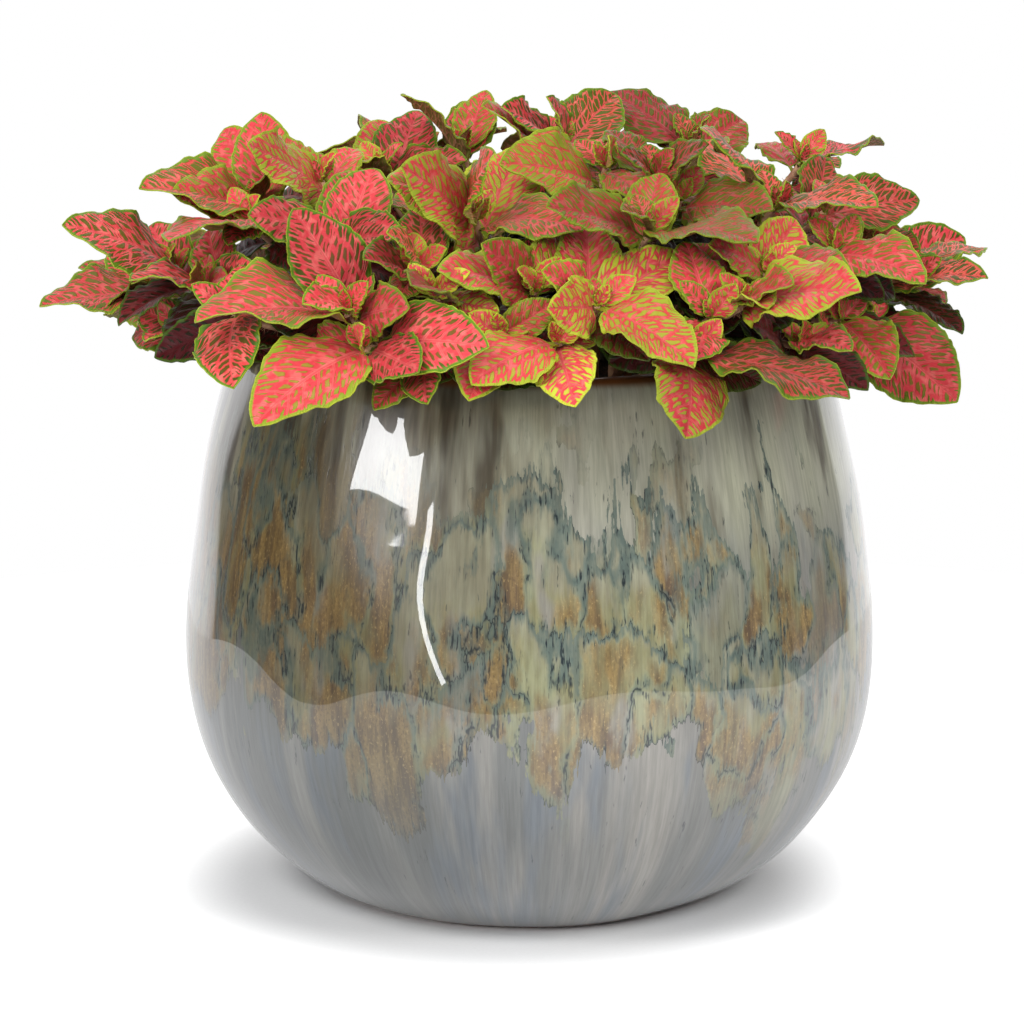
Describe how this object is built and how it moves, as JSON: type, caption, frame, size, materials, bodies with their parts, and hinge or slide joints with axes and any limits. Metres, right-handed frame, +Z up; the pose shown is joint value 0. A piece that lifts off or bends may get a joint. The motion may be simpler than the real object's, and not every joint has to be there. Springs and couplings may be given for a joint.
{
  "type": "potted nerve plant",
  "caption": "Bushy nerve plant with veined, wavy-edged oval leaves on upright stems, standing in soil in a round-bellied glazed pot.",
  "frame": {"origin": "centre of the pot's flat base, on the surface that it stands on", "axes": "+Z up along the pot's axis, -Y towards the front as pictured"},
  "size_m": [0.2427, 0.236, 0.2073],
  "materials": {
    "pot": "glossy reactive glaze, grey-blue and sage with brown flecks",
    "soil": "dark crumbly potting soil",
    "foliage": "soft satin leaves, pink-red veins on green"
  },
  "bodies": {
    "root": {"leafy_stem_back_1": "foliage", "leafy_stem_back_10": "foliage", "leafy_stem_back_11": "foliage", "leafy_stem_back_12": "foliage", "leafy_stem_back_13": "foliage", "leafy_stem_back_14": "foliage", "leafy_stem_back_15": "foliage", "leafy_stem_back_2": "foliage", "leafy_stem_back_3": "foliage", "leafy_stem_back_4": "foliage", "leafy_stem_back_5": "foliage", "leafy_stem_back_6": "foliage", "leafy_stem_back_7": "foliage", "leafy_stem_back_8": "foliage", "leafy_stem_back_9": "foliage", "leafy_stem_front_1": "foliage", "leafy_stem_front_2": "foliage", "leafy_stem_front_3": "foliage", "leafy_stem_front_4": "foliage", "leafy_stem_front_5": "foliage", "leafy_stem_front_left_1": "foliage", "leafy_stem_front_left_2": "foliage", "leafy_stem_front_left_3": "foliage", "leafy_stem_front_left_4": "foliage", "leafy_stem_front_left_5": "foliage", "leafy_stem_front_right_1": "foliage", "leafy_stem_front_right_2": "foliage", "leafy_stem_front_right_3": "foliage", "leafy_stem_front_right_4": "foliage", "leafy_stem_left_1": "foliage", "leafy_stem_left_2": "foliage", "leafy_stem_left_3": "foliage", "leafy_stem_left_4": "foliage", "leafy_stem_left_5": "foliage", "leafy_stem_left_6": "foliage", "leafy_stem_low_right_1": "foliage", "leafy_stem_low_right_2": "foliage", "leafy_stem_low_right_3": "foliage", "leafy_stem_right_1": "foliage", "leafy_stem_right_2": "foliage", "leafy_stem_right_3": "foliage", "leafy_stem_right_4": "foliage", "leafy_stem_right_5": "foliage", "leafy_stem_right_6": "foliage", "leafy_stem_top_1": "foliage", "leafy_stem_top_2": "foliage", "leafy_stem_top_3": "foliage", "leafy_stem_top_left_1": "foliage", "leafy_stem_top_left_2": "foliage", "leafy_stem_top_left_3": "foliage", "leafy_stem_top_left_4": "foliage", "leafy_stem_top_left_5": "foliage", "leafy_stem_top_right_1": "foliage", "leafy_stem_top_right_2": "foliage", "leafy_stem_top_right_3": "foliage", "leafy_stem_top_right_4": "foliage", "pot": "pot", "soil": "soil"}
  },
  "joints": []
}
